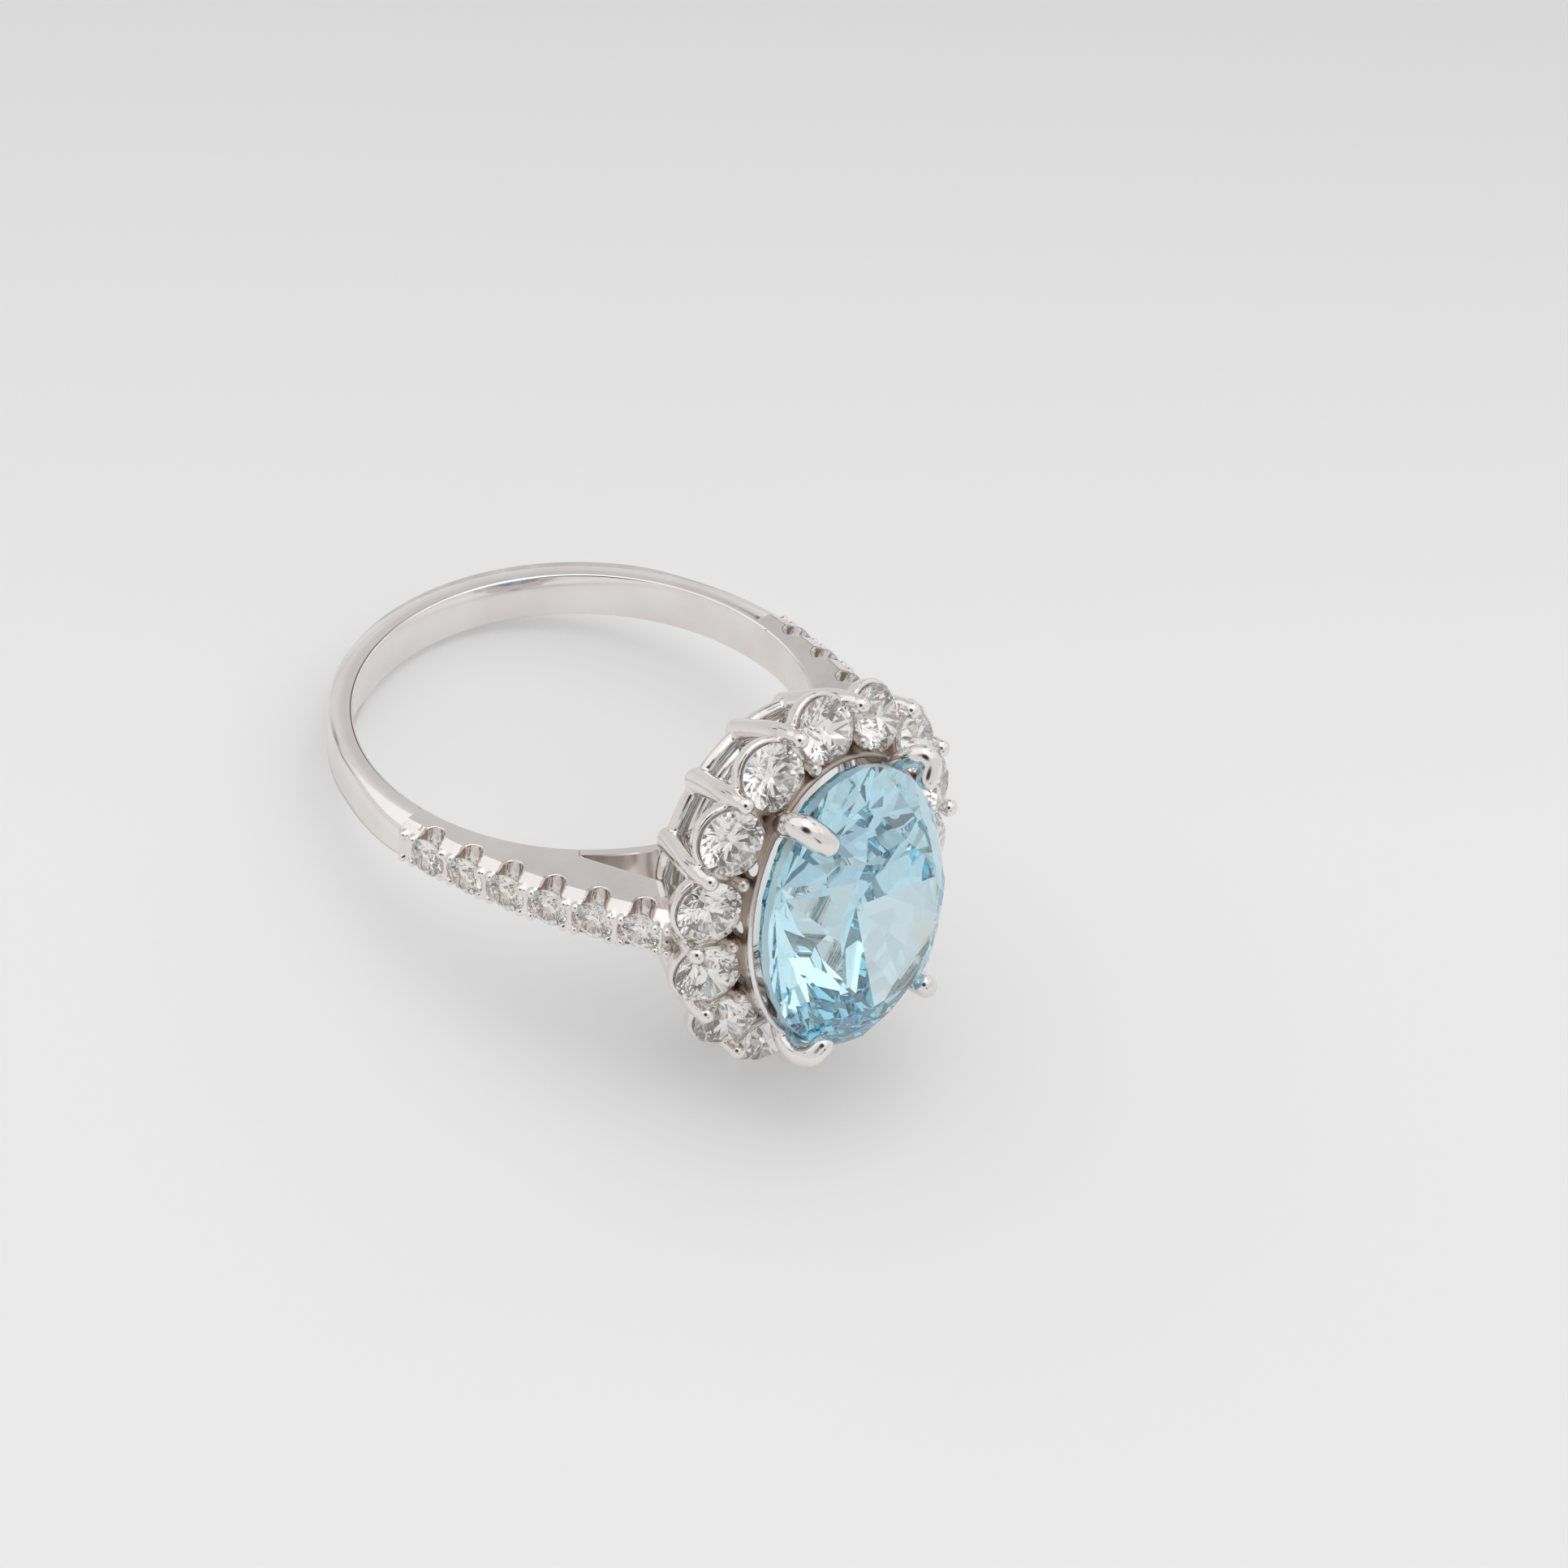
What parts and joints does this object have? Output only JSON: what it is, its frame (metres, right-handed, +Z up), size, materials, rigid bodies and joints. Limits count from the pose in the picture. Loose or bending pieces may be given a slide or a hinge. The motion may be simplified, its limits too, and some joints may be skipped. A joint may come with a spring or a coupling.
{
  "type": "halo cocktail ring",
  "caption": "White metal finger ring with an oval aqua stone in claws, a halo of round clear stones, and stone-set cathedral shoulders, lying on its side.",
  "frame": {"origin": "On the resting surface, under the centre of the ring's bounding box as it lies on its halo and the back of its band.", "axes": "+Z up from the surface, +Y from the stones towards the back of the band, +X across the finger hole. The ring is mirror symmetric about the YZ plane, apart from its centre stone and claw tips, which are set 0.2 mm towards -X, and the finger axis leans about 19 degrees from +Z towards +Y."},
  "size_m": [0.02, 0.0256, 0.0149],
  "materials": {
    "white_metal": "polished",
    "clear_stone": "faceted and clear",
    "aqua_stone": "faceted, pale aqua"
  },
  "bodies": {
    "root": {"shank": "white_metal", "finger_rail": "white_metal", "shoulder_left": "white_metal", "shoulder_right": "white_metal", "centre_basket": "white_metal", "halo_frame": "white_metal", "centre_stone": "aqua_stone", "halo_stone_01": "clear_stone", "halo_stone_02": "clear_stone", "halo_stone_03": "clear_stone", "halo_stone_04": "clear_stone", "halo_stone_05": "clear_stone", "halo_stone_06": "clear_stone", "halo_stone_07": "clear_stone", "halo_stone_08": "clear_stone", "halo_stone_09": "clear_stone", "halo_stone_10": "clear_stone", "halo_stone_11": "clear_stone", "halo_stone_12": "clear_stone", "halo_stone_13": "clear_stone", "halo_stone_14": "clear_stone", "shoulder_stone_left_1": "clear_stone", "shoulder_stone_left_2": "clear_stone", "shoulder_stone_left_3": "clear_stone", "shoulder_stone_left_4": "clear_stone", "shoulder_stone_left_5": "clear_stone", "shoulder_stone_left_6": "clear_stone", "shoulder_stone_right_1": "clear_stone", "shoulder_stone_right_2": "clear_stone", "shoulder_stone_right_3": "clear_stone", "shoulder_stone_right_4": "clear_stone", "shoulder_stone_right_5": "clear_stone", "shoulder_stone_right_6": "clear_stone"}
  },
  "joints": []
}
